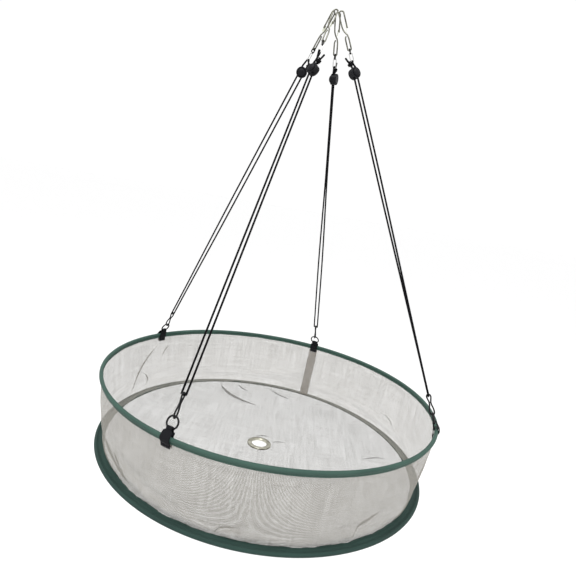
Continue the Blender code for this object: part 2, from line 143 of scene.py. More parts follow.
def camera():
    """In front of the tray and above it, looking slightly down and leaned a little to one side."""
    data = bpy.data.cameras.new("camera")
    data.lens = 30.38
    data.sensor_width = 36
    data.shift_x = 0.0312
    obj = linked("camera", data)
    right = Vector((0.98344, 0.06495, 0.16919))
    down = Vector((0.17783, -0.16598, -0.96996))
    forward = Vector((-0.03492, 0.98399, -0.17478))
    turn = Matrix((right, -down, -forward)).transposed()
    place = Vector((0, -1.0828, -0.3982))
    obj.matrix_world = Matrix.Translation(place) @ turn.to_4x4()
    bpy.context.scene.camera = obj


def area_light(name, place, target, size, power):
    data = bpy.data.lights.new(name, "AREA")
    data.size = size
    data.energy = power
    obj = linked(name, data)
    obj.location = place
    obj.rotation_euler = (Vector(target) - Vector(place)).to_track_quat("-Z", "Y").to_euler()


def studio():
    """A wide pale floor well below the tray, under a bright even sky and two soft lamps."""
    scene = bpy.context.scene
    scene.view_settings.view_transform = "Standard"
    world = bpy.data.worlds.new("studio")
    world.use_nodes = True
    sky = world.node_tree.nodes["Background"].inputs
    sky["Color"].default_value = (1.0, 1.0, 1.0, 1)
    sky["Strength"].default_value = 1.03
    scene.world = world
    paint = Paint("studio paint", (0.97, 0.97, 0.97), 0.9, Specular_IOR_Level=0.1)
    bpy.ops.mesh.primitive_plane_add(size=400, location=(0, 0, BOTTOM_Z - STUDIO_DROP))
    floor = bpy.context.object
    floor.name = "studio_floor"
    floor.data.materials.append(paint.material)
    area_light("key", (-0.5, -1.3, 1.9), (0, 0, -0.8), 1.4, 60)
    area_light("fill", (2.2, -1.0, 0.6), (0, 0, -0.7), 1.6, 8)


# ------------ materials

class Paint:
    """A Principled material with short calls for its nodes."""

    def __init__(self, name, color, roughness, metallic=0.0, **sockets):
        self.material = bpy.data.materials.new(name)
        self.material.use_nodes = True
        self.tree = self.material.node_tree
        self.shader = self.tree.nodes["Principled BSDF"]
        self.shader.inputs["Base Color"].default_value = (*color, 1)
        self.shader.inputs["Roughness"].default_value = roughness
        self.shader.inputs["Metallic"].default_value = metallic
        for socket, value in sockets.items():
            self.shader.inputs[socket.replace("_", " ")].default_value = value
        self.uv = self.node("ShaderNodeTexCoord").outputs["UV"]
        self.solid = self.tree.nodes[self.uv.node.name].outputs["Object"]

    def node(self, kind, inputs=None, **settings):
        node = self.tree.nodes.new(kind)
        for key, value in settings.items():
            setattr(node, key, value)
        for key, value in (inputs or {}).items():
            socket = node.inputs[key]
            if isinstance(value, bpy.types.NodeSocket):
                self.tree.links.new(value, socket)
            else:
                socket.default_value = value
        return node

    def math(self, operation, a, b=0.0, c=0.0):
        return self.node("ShaderNodeMath", {0: a, 1: b, 2: c}, operation=operation).outputs[0]

    def plus(self, a, b):
        return self.math("ADD", a, b)

    def times(self, a, b):
        return self.math("MULTIPLY", a, b)

    def blend(self, *shares):
        """The sum of (value, share) pairs."""
        total = self.times(*shares[0])
        for value, share in shares[1:]:
            total = self.plus(total, self.times(value, share))
        return total

    def axes(self, vector):
        parts = self.node("ShaderNodeSeparateXYZ", {0: vector}).outputs
        return parts[0], parts[1], parts[2]

    def noise(self, vector, scale, detail=3.0, rough=0.55):
        return self.node("ShaderNodeTexNoise", {"Vector": vector, "Scale": scale,
                         "Detail": detail, "Roughness": rough}).outputs["Fac"]

    def stretched(self, vector, scale):
        return self.node("ShaderNodeMapping", {"Vector": vector, "Scale": scale}).outputs[0]

    def ramp(self, factor, stops):
        node = self.node("ShaderNodeValToRGB", {"Fac": factor})
        marks = node.color_ramp.elements
        marks[0].position, marks[0].color = stops[0][0], (*stops[0][1], 1)
        marks[1].position, marks[1].color = stops[-1][0], (*stops[-1][1], 1)
        for place, color in stops[1:-1]:
            mark = marks.new(place)
            mark.color = (*color, 1)
        return node.outputs["Color"]

    def spread(self, value, low, high, to_low, to_high):
        node = self.node("ShaderNodeMapRange", {"Value": value, "From Min": low,
                         "From Max": high, "To Min": to_low, "To Max": to_high})
        return node.outputs[0]

    def wave(self, coordinate, period):
        """0 to 1 and back along a coordinate, once a period."""
        turned = self.math("MULTIPLY", coordinate, math.tau / period)
        return self.math("MULTIPLY_ADD", self.math("SINE", turned), 0.5, 0.5)

    def bump(self, height, distance, strength=1.0):
        node = self.node("ShaderNodeBump", {"Height": height, "Distance": distance,
                         "Strength": strength})
        self.feed("Normal", node.outputs[0])

    def feed(self, socket, value):
        self.tree.links.new(value, self.shader.inputs[socket])

    def colors(self, factor, *stops):
        self.feed("Base Color", self.ramp(factor, stops))


def tape_material(name, dark, middle, light):
    """Green binding tape with fine ribs across it, lighter where it is worn smooth."""
    p = Paint(name, middle, 0.7, Specular_IOR_Level=0.2)
    along, across, _ = p.axes(p.uv)
    ribs = p.wave(along, 0.0011)
    ends = p.wave(across, 0.0007)
    patches = p.noise(p.stretched(p.uv, (14.0, 60.0, 1.0)), 1.0, 4.0)
    fine = p.noise(p.uv, 900.0, 2.0)
    shade = p.blend((ribs, 0.25), (patches, 0.55), (fine, 0.20))
    p.colors(shade, (0.20, dark), (0.50, middle), (0.85, light))
    p.feed("Roughness", p.spread(patches, 0.3, 0.7, 0.5, 0.75))
    p.bump(p.blend((ribs, 1.0), (ends, 0.35)), 0.00018, 0.8)
    return p.material


def mesh_material(name, period, cover, tint):
    """See-through netting: uneven threads crossing, which hide a given share of what is behind."""
    p = Paint(name, tint, 0.7, Specular_IOR_Level=0.2)
    along, across, _ = p.axes(p.uv)
    wobble = p.times(p.noise(p.uv, 60.0, 1.0), 0.0006)
    warp = p.wave(p.plus(along, wobble), period)
    weft = p.wave(p.plus(across, wobble), period)
    thread = p.math("MAXIMUM", warp, weft)
    edge = 0.5 - 0.5 * math.cos(math.pi * math.sqrt(1 - cover))
    weave = p.spread(thread, edge - 0.12, edge + 0.12, 0.0, 1.0)
    thick_warp = p.noise(p.stretched(p.uv, (260.0, 9.0, 1.0)), 1.0, 3.0)
    thick_weft = p.noise(p.stretched(p.uv, (9.0, 260.0, 1.0)), 1.0, 3.0)
    slubs = p.plus(thick_warp, thick_weft)
    patches = p.noise(p.uv, 9.0, 4.0)
    alpha = p.math("MULTIPLY_ADD", weave, 0.86, 0.10)
    thick_thread = p.math("MAXIMUM", p.wave(along, period * 3), p.wave(across, period * 3))
    alpha = p.times(alpha, p.spread(thick_thread, 0.5, 1.0, 0.93, 1.12))
    alpha = p.times(alpha, p.spread(slubs, 0.85, 1.15, 0.80, 1.20))
    alpha = p.times(alpha, p.spread(patches, 0.3, 0.7, 0.94, 1.05))
    p.feed("Alpha", p.math("MINIMUM", alpha, 1.0))
    light = tuple(min(c * 1.15, 1) for c in tint)
    dark = tuple(c * 0.80 for c in tint)
    p.colors(p.times(slubs, 0.5), (0.35, light), (0.65, dark))
    p.bump(thread, 0.0002, 0.6)
    return p.material


def webbing_material():
    """Black webbing: slanted rows of yarn that meet along the middle."""
    p = Paint("black webbing", (0.006, 0.006, 0.007), 0.8, Specular_IOR_Level=0.10)
    along, across, _ = p.axes(p.uv)
    slant = p.plus(along, p.math("ABSOLUTE", across))
    yarn = p.wave(slant, 0.0016)
    ridge = p.wave(across, 0.0022)
    height = p.blend((yarn, 0.7), (ridge, 0.3))
    p.colors(height, (0.1, (0.003, 0.003, 0.004)), (0.9, (0.015, 0.015, 0.018)))
    p.bump(height, 0.0003, 0.9)
    return p.material


def cord_material():
    """Black braided cord: two sets of yarn winding opposite ways."""
    p = Paint("black braided cord", (0.004, 0.004, 0.005), 0.8, Specular_IOR_Level=0.05)
    round_it, along, _ = p.axes(p.uv)
    left = p.wave(p.plus(along, round_it), 0.0024)
    right = p.wave(p.math("SUBTRACT", along, round_it), 0.0024)
    height = p.math("MAXIMUM", left, right)
    p.colors(height, (0.3, (0.0015, 0.0015, 0.002)), (0.95, (0.007, 0.007, 0.008)))
    p.bump(height, 0.0002, 0.35)
    return p.material


def plastic_material():
    """Moulded black plastic with a fine spark-eroded grain and faint, slightly polished patches."""
    p = Paint("moulded black plastic", (0.008, 0.008, 0.009), 0.5, Specular_IOR_Level=0.12)
    grain = p.noise(p.solid, 1400.0, 3.0)
    rubbed = p.noise(p.solid, 120.0, 3.0)
    p.colors(rubbed, (0.3, (0.004, 0.004, 0.005)), (0.75, (0.013, 0.013, 0.016)))
    p.feed("Roughness", p.spread(rubbed, 0.3, 0.7, 0.42, 0.60))
    p.bump(grain, 0.00012, 0.5)
    return p.material


def metal_material(name, dark, light, roughness, metallic):
    """Metal with fine drawing lines along the wire and faint patches."""
    p = Paint(name, light, roughness, metallic)
    lines = p.noise(p.stretched(p.uv, (900, 60, 60)), 1.0, 3.0)
    patches = p.noise(p.solid, 90.0, 4.0)
    p.colors(patches, (0.3, dark), (0.7, light))
    both = p.blend((lines, 0.5), (patches, 0.5))
    p.feed("Roughness", p.spread(both, 0.3, 0.7, roughness * 0.75, roughness * 1.35))
    p.bump(lines, 0.00003, 0.5)
    return p.material


def thread_material(name, dark, light):
    """Twisted sewing thread."""
    p = Paint(name, dark, 0.6, Sheen_Weight=0.3)
    round_it, along, _ = p.axes(p.uv)
    twist = p.wave(p.plus(along, round_it), 0.0007)
    p.colors(twist, (0.2, dark), (0.9, light))
    p.bump(twist, 0.0001, 0.8)
    return p.material


# ------------ shapes

def mesh_object(name, build, material, smooth=True):
    """An object from a function that fills a bmesh with a UV layer in metres."""
    mesh = bpy.data.meshes.new(name)
    shape = bmesh.new()
    build(shape, shape.loops.layers.uv.new("UVMap"))
    shape.to_mesh(mesh)
    shape.free()
    mesh.materials.append(material)
    if smooth:
        mesh.shade_smooth()
    return linked(name, mesh)


def curve_points(knots, spans, closed=False):
    """Catmull-Rom points through the knots."""
    rows = [Vector(k) for k in knots]
    if closed:
        rows = [rows[-1]] + rows + rows[:2]
    else:
        rows = [2 * rows[0] - rows[1]] + rows + [2 * rows[-1] - rows[-2]]
    points = []
    for a, b, c, d in zip(rows, rows[1:], rows[2:], rows[3:]):
        for step in range(spans):
            t = step / spans
            points.append(0.5 * (2 * b + (c - a) * t + (2 * a - 5 * b + 4 * c - d) * t ** 2
                                 + (3 * b - a - 3 * c + d) * t ** 3))
    if not closed:
        points.append(rows[-2])
    return points


def path_frames(points, closed):
    """A tangent, normal and side at each point, carried along without twist."""
    count = len(points)
    frames = []
    normal = None
    for i in range(count):
        if closed:
            tangent = points[(i + 1) % count] - points[i - 1]
        else:
            tangent = points[min(i + 1, count - 1)] - points[max(i - 1, 0)]
        tangent.normalize()
        if normal is None:
            normal = tangent.orthogonal().normalized()
        normal = (normal - tangent * normal.dot(tangent)).normalized()
        frames.append((tangent, normal, tangent.cross(normal)))
    if not closed:
        return frames
    last = frames[-1]
    ended = (last[1] - frames[0][0] * last[1].dot(frames[0][0])).normalized()
    slip = math.atan2(ended.dot(frames[0][2]), ended.dot(frames[0][1]))
    fixed = []
    for i, (tangent, normal, side) in enumerate(frames):
        turn = -slip * i / count
        fixed.append((tangent, normal * math.cos(turn) + side * math.sin(turn),
                      side * math.cos(turn) - normal * math.sin(turn)))
    return fixed


def add_tube(shape, uv, points, radius, sides=12, closed=False):
    """A round tube along the points, with domed ends when it is open."""
    frames = path_frames(points, closed)
    rings = []
    travelled = [0.0]
    for a, b in zip(points, points[1:]):
        travelled.append(travelled[-1] + (b - a).length)
    for point, (_, normal, side) in zip(points, frames):
        rings.append(ring_of(shape, point, normal, side, radius, sides))
    if closed:
        rings.append(rings[0])
        travelled.append(travelled[-1] + (points[0] - points[-1]).length)
    join_rings(shape, uv, rings, travelled, math.tau * radius)
    if not closed:
        dome(shape, uv, points[0], frames[0], rings[0], radius, -1)
        dome(shape, uv, points[-1], frames[-1], rings[-1], radius, 1)


def ring_of(shape, point, normal, side, radius, sides):
    ring = []
    for k in range(sides):
        a = math.tau * k / sides
        ring.append(shape.verts.new(point + normal * radius * math.cos(a)
                                    + side * radius * math.sin(a)))
    return ring


def add_quad(shape, uv, corners, u, v):
    """One face, whose UVs run over the spans u and v."""
    face = shape.faces.new(corners)
    spots = ((u[0], v[0]), (u[1], v[0]), (u[1], v[1]), (u[0], v[1]))
    for loop, spot in zip(face.loops, spots):
        loop[uv].uv = spot


def join_rings(shape, uv, rings, travelled, girth):
    sides = len(rings[0])
    for i, (low, high) in enumerate(zip(rings, rings[1:])):
        for k in range(sides):
            n = (k + 1) % sides
            add_quad(shape, uv, (low[k], low[n], high[n], high[k]),
                     (k / sides * girth, (k + 1) / sides * girth), travelled[i:i + 2])


def dome(shape, uv, point, axes, ring, radius, way):
    """A low rounded cap on a tube's end."""
    tangent, normal, side = axes
    rings = [ring]
    for turn in (30, 60):
        a = math.radians(turn)
        middle = point + tangent * way * radius * 0.5 * math.sin(a)
        rings.append(ring_of(shape, middle, normal, side, radius * math.cos(a), len(ring)))
    tip = shape.verts.new(point + tangent * way * radius * 0.5)
    faces = []
    for low, high in zip(rings, rings[1:]):
        for k in range(len(ring)):
            n = (k + 1) % len(ring)
            faces.append(shape.faces.new((low[k], low[n], high[n], high[k])))
    for k in range(len(ring)):
        faces.append(shape.faces.new((rings[-1][k], rings[-1][(k + 1) % len(ring)], tip)))
    for face in faces:
        if way < 0:
            face.normal_flip()
        for loop in face.loops:
            local = loop.vert.co - point
            loop[uv].uv = (local.dot(normal), local.dot(side))


def tube(name, points, radius, material, sides=12, closed=False):
    points = [Vector(p) for p in points]
    return mesh_object(name, lambda s, uv: add_tube(s, uv, points, radius, sides, closed), material)


def add_sweep(shape, uv, rows, closed_rows=True, closed_profile=True):
    """Quads over rows of points; UVs run in metres along and across them."""
    verts = [[shape.verts.new(p) for p in row] for row in rows]
    if closed_rows:
        verts.append(verts[0])
        rows = rows + [rows[0]]
    along = 0.0
    for i in range(len(verts) - 1):
        step = (rows[i + 1][0] - rows[i][0]).length
        across = 0.0
        count = len(rows[i])
        for k in range(count if closed_profile else count - 1):
            n = (k + 1) % count
            width = (rows[i][n] - rows[i][k]).length
            corners = (verts[i][k], verts[i + 1][k], verts[i + 1][n], verts[i][n])
            add_quad(shape, uv, corners, (along, along + step), (across, across + width))
            across += width
        along += step


def swept(name, rows, material, closed_rows=True):
    return mesh_object(name, lambda s, uv: add_sweep(s, uv, rows, closed_rows), material)


def add_capped_sweep(shape, uv, rows):
    """A sweep closed by one flat face at each end."""
    add_sweep(shape, uv, rows, False)
    shape.verts.ensure_lookup_table()
    count = len(rows[0])
    last = (len(rows) - 1) * count
    shape.faces.new([shape.verts[k] for k in range(count)])
    shape.faces.new([shape.verts[last + k] for k in reversed(range(count))])
    bmesh.ops.recalc_face_normals(shape, faces=shape.faces)


def turned(name, profile, segments, material):
    """A lathe shape about Z from (radius, z) points listed down the outer side."""
    rows = [[polar(r, math.tau * i / segments, z) for r, z in profile] for i in range(segments)]
    return swept(name, rows, material)


def rounded(outline, radius, steps=4):
    """The closed outline with each corner rounded."""
    points = []
    count = len(outline)
    for i in range(count):
        before, here, after = (Vector(outline[j % count]) for j in (i - 1, i, i + 1))
        to_before = before - here
        to_after = after - here
        cut = min(radius, 0.45 * to_before.length, 0.45 * to_after.length)
        start = here + to_before.normalized() * cut
        end = here + to_after.normalized() * cut
        for step in range(steps + 1):
            t = step / steps
            points.append(start.lerp(here, t).lerp(here.lerp(end, t), t))
    return points


def arc(center, radius, start, end, count):
    angles = [math.radians(start + (end - start) * i / (count - 1)) for i in range(count)]
    return [(center[0] + radius * math.cos(a), center[1] + radius * math.sin(a)) for a in angles]


def finish_piece(obj, body, slot, *nodes):
    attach(obj, body)
    if nodes:
        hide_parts(*nodes)


def settle(obj, pinned, growth, cap):
    """Lets the cloth buckle between its pinned edges, then keeps the shape that it took."""
    group = obj.vertex_groups.new(name="pinned")
    group.add(pinned, 1.0, "REPLACE")
    start = [v.co.copy() for v in obj.data.vertices]
    cloth = obj.modifiers.new("cloth", "CLOTH")
    settings = cloth.settings
    settings.vertex_group_mass = "pinned"
    settings.quality = 6
    settings.mass = 0.08
    settings.tension_stiffness = CLOTH_STIFFNESS
    settings.compression_stiffness = CLOTH_STIFFNESS
    settings.shear_stiffness = CLOTH_STIFFNESS * 0.4
    settings.bending_stiffness = 0.04
    settings.shrink_min = -growth
    settings.effector_weights.gravity = 0.4
    cloth.collision_settings.use_collision = False
    cloth.point_cache.frame_start = 1
    cloth.point_cache.frame_end = SETTLE_FRAMES
    for step in range(1, SETTLE_FRAMES + 1):
        bpy.context.scene.frame_set(step)
    graph = bpy.context.evaluated_depsgraph_get()
    shaped = obj.evaluated_get(graph)
    moved = [v.co.copy() for v in shaped.data.vertices]
    obj.modifiers.clear()
    obj.vertex_groups.clear()
    for vert, old, new in zip(obj.data.vertices, start, moved):
        step = new - old
        if step.length > cap:
            step *= cap / step.length
        vert.co = old + step
    bpy.context.scene.frame_set(1)


# ------------ the tray

def polar(radius, turn, z):
    return Vector((radius * math.cos(turn), radius * math.sin(turn), z))


def hem_rise(turn):
    """The lower hem's slope in degrees: flat at the front and steepest at the back."""
    return MOST_RISE * (0.5 + 0.5 * math.sin(turn))


def foot(turn):
    """Where the wall stands on the lower hem's inner edge, as (radius, z)."""
    rise = math.radians(hem_rise(turn))
    return Vector((BOTTOM_R - BOTTOM_HEM * math.cos(rise), BOTTOM_Z + BOTTOM_HEM * math.sin(rise)))


class Hem:
    """Tape round one hoop: folded over the wire, then on as a slightly wavy hem."""

    def __init__(self, radius, height, depth, wavy, seed):
        self.radius = radius
        self.height = height
        self.depth = depth
        self.wavy = wavy
        self.seed = seed

    def lean(self, _):
        """How far the hem turns in from straight up, in degrees."""
        return 180 - math.degrees(SLOPE)

    def wave(self, turn):
        """How far the hem's edge stands off its face and past its line."""
        spot = Vector((math.cos(turn) * 6, math.sin(turn) * 6, self.seed))
        slow = noise.noise(spot * 1.7)
        middle = noise.noise(spot * 5.0)
        fine = noise.noise(spot * 13.0)
        past = self.wavy * (0.6 * slow + 0.5 * middle + 0.3 * fine)
        return 0.0005 * slow + 0.0004 * middle, past

    def place(self, turn, profile):
        """Points given as (off the hem's face, along the hem), placed at one turn of the hoop."""
        stand, past = self.wave(turn)
        lean = math.radians(self.lean(turn))
        cos, sin = math.cos(lean), math.sin(lean)
        row = []
        for x, z in profile:
            share = min(max(z, 0) / self.depth, 1)
            side = x + share * stand
            reach = z + share * past
            row.append(polar(self.radius + side * cos - reach * sin, turn,
                             self.height + side * sin + reach * cos))
        return row

    def tape(self, name, material):
        leg = 0.0016
        inner = 0.0005
        end = self.depth
        start = math.degrees(math.acos(leg / TUBE_R))
        profile = [(leg, end), (leg, end * 0.75), (leg, end * 0.5)]
        profile += arc((0, 0), TUBE_R, start, -180 - start, 16)
        profile += [(-leg, end * 0.5), (-leg, end * 0.75), (-leg, end)]
        profile += [(-leg * 0.75, end + 0.0004), (-inner, end + 0.0003), (-inner, end * 0.45),
                    (inner, end * 0.45), (inner, end + 0.0003), (leg * 0.75, end + 0.0004)]
        segments = 480
        rows = [self.place(math.tau * i / segments, profile) for i in range(segments)]
        return swept(name, rows, material)

    def stitches(self, name, inset, material):
        """Short thread stitches along the hem, one row on each face of the tape."""
        rng = random.Random(self.seed)
        count = int(math.tau * self.radius / STITCH_PITCH)
        half = STITCH_HALF / self.radius
        face = 0.00185

        def build(shape, uv):
            for side in (-1, 1):
                for i in range(count):
                    turn = math.tau * (i + 0.5 * (side > 0) + rng.uniform(-0.04, 0.04)) / count
                    points = []
                    for share, sunk in ((-1, 0.0005), (-0.6, 0), (0.6, 0), (1, 0.0005)):
                        spot = (side * (face - sunk), self.depth - inset)
                        points += self.place(turn + half * share, [spot])
                    add_tube(shape, uv, points, STITCH_R, 5)

        return mesh_object(name, build, material)


class LowerHem(Hem):
    """The wide hem, which lies flat at the front and is pulled up at the back."""

    def lean(self, turn):
        return 90 - hem_rise(turn)


def wall_line(turn):
    """The wall's middle line as (radius, z), down the cone and out into the lower hem."""
    rise = math.radians(hem_rise(turn))
    edge = foot(turn)
    top = Vector((HOOP_R - WALL_START * math.sin(SLOPE), TOP_Z - WALL_START * math.cos(SLOPE)))
    low = edge + Vector((-WALL_TURN, WALL_TURN))
    line = [top.lerp(low, i / WALL_STEPS) for i in range(WALL_STEPS + 1)]
    line += [Vector(p) for p in arc((edge.x, edge.y + WALL_TURN), WALL_TURN, 210, 258, 3)]
    line.append(edge + 0.010 * Vector((math.cos(rise), -math.sin(rise))))
    return line


def wall_shape(material):
    """The wall of netting, buckled between the two hoops."""
    around = 270

    def build(shape, uv):
        columns = []
        for i in range(around):
            turn = math.tau * i / around
            column = []
            for k, (radius, z) in enumerate(wall_line(turn)):
                share = min(k / WALL_STEPS, 1)
                slack = math.sin(math.pi * share)
                spot = Vector((math.cos(turn) * 3, math.sin(turn) * 3, share * 1.2))
                wave = 0.0020 * noise.noise(spot * 1.3) + 0.0010 * noise.noise(spot * 4.0)
                column.append(polar(radius + slack * (wave - 0.0012), turn, z))
            columns.append(column)
        add_sweep(shape, uv, columns, True, False)

    obj = mesh_object("wall_netting", build, material)
    edge = [v.index for v in obj.data.vertices
            if v.co.z > TOP_Z - 0.013 or v.co.z < foot_near(v.co).y + 0.002]
    settle(obj, edge, growth=0.016, cap=0.010)
    return obj


def foot_near(spot):
    return foot(math.atan2(spot.y, spot.x))


def floor_shape(material):
    """The round floor of netting, sewn in at the rim and held flat by the grommet."""
    around, out = 180, 26
    inner = BARREL_R + 0.0004
    flat = GROMMET_R + 0.004
    ease_in = 0.03

    def build(shape, uv):
        rows = []
        for k in range(out + 1):
            row = []
            for i in range(around):
                turn = math.tau * i / around
                edge = foot(turn)
                rim = edge.x - 0.0009
                r = inner + (rim - inner) * k / out
                spot = polar(r, turn, 0)
                slack = min(max((r - flat) / ease_in, 0), max((rim - r) / ease_in, 0), 1)
                lift = slack * (0.0016 * noise.noise(spot * 14) + 0.0010 * noise.noise(spot * 40))
                dish = max(r - flat, 0) / (rim - flat) * (edge.y - FLOOR_Z)
                row.append(Vector((spot.x, spot.y, FLOOR_Z + dish + lift)))
            rows.append(row)
        add_sweep(shape, uv, [list(reversed(row)) for row in reversed(rows)], False, True)
        for face in shape.faces:
            for loop in face.loops:
                loop[uv].uv = loop.vert.co.xy

    obj = mesh_object("floor_netting", build, material)
    held = [v.index for v in obj.data.vertices
            if v.co.xy.length > foot_near(v.co).x - 0.007 or v.co.xy.length < GROMMET_R + 0.002]
    settle(obj, held, growth=0.012, cap=0.008)
    return obj


def subdivided(obj, levels):
    smooth = obj.modifiers.new("smooth", "SUBSURF")
    smooth.levels = levels
    smooth.render_levels = levels
    return obj


def baked(obj):
    """The object's modifiers applied to its mesh."""
    bpy.context.view_layer.update()
    graph = bpy.context.evaluated_depsgraph_get()
    mesh = bpy.data.meshes.new_from_object(obj.evaluated_get(graph))
    obj.modifiers.clear()
    obj.data = mesh
    return obj


def wall_radius(depth, turn):
    edge = foot(turn)
    return HOOP_R - (HOOP_R - edge.x) * depth / (TOP_Z - edge.y)


def seam(material, thread):
    """The wall strip's ends lapped over each other below the back tab and sewn down."""
    middle = math.radians(HANGERS["back"][0])
    half = SEAM_W / 2
    tall = TOP_Z - foot(middle).y

    def point(side, depth, lift=0.0):
        r = wall_radius(depth, middle) - 0.0026 - lift
        return polar(r, middle + side * half / r, TOP_Z - depth)

    rows = []
    for i in range(49):
        depth = 0.010 + (tall - 0.012) * i / 48
        wave = 0.0004 * math.sin(depth * 160)
        across = [-1, -0.95, -0.5, 0, 0.5, 0.95, 1]
        rows.append([point(a + wave * 30, depth, 0.0004 * (1 - a * a)) for a in across]
                    + [point(a + wave * 30, depth, -0.0005) for a in reversed(across)])
    strip = swept("wall_seam", rows, material, False)

    def build(shape, uv):
        for side in (-0.72, 0.72):
            for i in range(39):
                depth = 0.013 + i * 0.0034
                ends = [point(side, depth, 0.0002), point(side, depth + 0.0006, 0.0009),
                        point(side, depth + 0.0018, 0.0009), point(side, depth + 0.0024, 0.0002)]
                add_tube(shape, uv, ends, 0.00025, 5)

    return strip, mesh_object("wall_seam_stitches", build, thread)


def grommet(material):
    top = FLOOR_Z + 0.0008
    under = FLOOR_Z - 0.0008
    inside = BARREL_R + 0.0003
    eyelet = [(GROMMET_R - x, top + z) for x, z in
              ((0, -0.0002), (0.0002, 0.0006), (0.0016, 0.0013), (0.0045, 0.0016))]
    eyelet += [(BARREL_BORE_R + x, top + z) for x, z in
               ((0.0030, 0.0019), (0.0012, 0.0015), (0.0002, 0.0006), (0, 0))]
    eyelet += [(BARREL_BORE_R, under - 0.0012), (BARREL_BORE_R + 0.0005, under - 0.0022)]
    eyelet += [(BARREL_R + x, under - z) for x, z in
               ((0.0010, 0.0025), (0.0026, 0.0018), (0.0027, 0.0011), (0, 0.0011))]
    eyelet.append((BARREL_R, top - 0.0002))
    ring = turned("grommet_face", rounded(eyelet[::-1], 0.0005, 2), 96, material)
    washer = [(GROMMET_R, under), (inside, under), (inside, under - 0.0008),
              (GROMMET_R, under - 0.0008)]
    return ring, turned("grommet_back", rounded(washer, 0.00025, 2), 96, material)


def on_wall(degrees, depth):
    turn = math.radians(degrees)
    return polar(wall_radius(depth, turn), turn, TOP_Z - depth)


def pleat(obj, knots, width, normal_at):
    """Folds the cloth over itself along a line, standing up a little, and fading at both ends."""
    line = curve_points(knots, 4)
    lengths = [0.0]
    for a, b in zip(line, line[1:]):
        lengths.append(lengths[-1] + (b - a).length)
    reach = 3.0 * width
    low = Vector(min(p[i] for p in line) - reach for i in range(3))
    high = Vector(max(p[i] for p in line) + reach for i in range(3))
    for vert in obj.data.vertices:
        spot = vert.co
        if any(not low[i] < spot[i] < high[i] for i in range(3)):
            continue
        k = min(range(len(line)), key=lambda i: (line[i] - spot).length_squared)
        a, b = line[max(k - 1, 0)], line[min(k + 1, len(line) - 1)]
        along = (b - a).normalized()
        normal = normal_at(spot)
        side = normal.cross(along).normalized()
        far = (spot - line[k]).dot(along)
        share = (lengths[k] + far) / lengths[-1]
        if not 0 < share < 1:
            continue
        fade = math.sin(math.pi * share) ** 0.5
        x = (spot - line[k]).dot(side) / width
        fall = math.exp(-x * x)
        over = -2.5 * width * fade * x * fall
        vert.co = spot + side * over + normal * (0.8 * width * fade * fall)


def crease_wall(wall):
    def inward(spot):
        return -Vector((spot.x, spot.y, 0)).normalized()

    lines = [
        (0.0068, [(149.9, 0.026), (155.6, 0.054), (160.6, 0.082), (164.7, 0.115), (168.0, 0.138)]),
        (0.0040, [(143.0, 0.030), (146.0, 0.048), (147.0, 0.068)]),
        (0.0042, [(157.0, 0.095), (155.6, 0.112), (156.0, 0.130)]),
        (0.0070, [(209.0, 0.112), (214.0, 0.120), (221.0, 0.128), (227.0, 0.137), (231.0, 0.147)]),
        (0.0040, [(222.0, 0.100), (224.5, 0.120), (226.5, 0.136)]),
        (0.0046, [(302.0, 0.146), (304.0, 0.124), (308.0, 0.112), (311.0, 0.096)]),
        (0.0038, [(262.0, 0.148), (264.0, 0.134), (269.0, 0.126)]),
        (0.0046, [(338.0, 0.040), (335.0, 0.075), (333.5, 0.110)]),
        (0.0038, [(20.0, 0.120), (24.0, 0.104), (30.0, 0.098)]),
    ]
    for width, places in lines:
        pleat(wall, [on_wall(*place) for place in places], width, inward)


def crease_floor(floor):
    lines = [
        (0.0110, [(-0.150, 0.312), (-0.130, 0.273), (-0.101, 0.238), (-0.060, 0.218),
                  (-0.017, 0.212)]),
        (0.0060, [(-0.098, 0.326), (-0.080, 0.307), (-0.056, 0.298)]),
        (0.0065, [(-0.004, 0.340), (0.020, 0.321), (0.048, 0.302), (0.072, 0.296)]),
        (0.0036, [(-0.012, 0.038), (0.006, 0.050), (0.026, 0.050)]),
        (0.0032, [(0.030, 0.024), (0.044, 0.034), (0.066, 0.040)]),
        (0.0040, [(0.250, 0.020), (0.285, 0.040), (0.318, 0.046)]),
    ]
    for width, places in lines:
        height = FLOOR_Z + 0.001
        pleat(floor, [(x, y, height) for x, y in places], width, lambda spot: Vector((0, 0, 1)))


def build_tray(mats):
    wall = baked(subdivided(wall_shape(mats["netting"]), 2))
    crease_wall(wall)
    # The floor netting's tint is darkened as painted shade.
    floor = baked(subdivided(floor_shape(mats["netting darkened as painted shade"]), 2))
    crease_floor(floor)
    # The lower hem's tape is the same tape darkened as painted shade; the top one is lifted as a
    # painted highlight.
    hems = {
        "top": (Hem(HOOP_R, TOP_Z, TOP_HEM, TOP_WAVE, 3.0), TOP_INSET, "tape"),
        "bottom": (LowerHem(BOTTOM_R, BOTTOM_Z, BOTTOM_HEM, BOTTOM_WAVE, 8.0), BOTTOM_INSET,
                   "tape painted as shade"),
    }
    for end, (hem, inset, paint) in hems.items():
        tape = hem.tape(end + "_tape", mats[paint])
        sewn = hem.stitches(end + "_stitches", inset, mats["green thread"])
        finish_piece(tape, "tray_" + end, "binding_tape", end + "_binding")
        finish_piece(sewn, "tray_" + end, "binding_tape")
    strip, sewn = seam(mats["seam"], mats["grey thread"])
    for piece in (wall, strip, sewn):
        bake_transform(piece)
    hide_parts("side_mesh")
    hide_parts("side_seam_strip")
    finish_piece(floor, "tray_bottom", "mesh_fabric", "floor_mesh")
    # The grommet's nickel is darkened as painted shade.
    face, back = grommet(mats["nickel"])
    finish_piece(face, "tray_bottom", "plated_steel", "grommet_eyelet")
    finish_piece(back, "tray_bottom", "plated_steel", "grommet_washer")
    for name in ("top_hoop_wire", "top_hoop_ferrule", "bottom_hoop_wire", "bottom_hoop_ferrule"):
        kept = frame["nodes"][name].data.materials
        kept.clear()
        kept.append(mats["spring"])


# ------------ the hangers

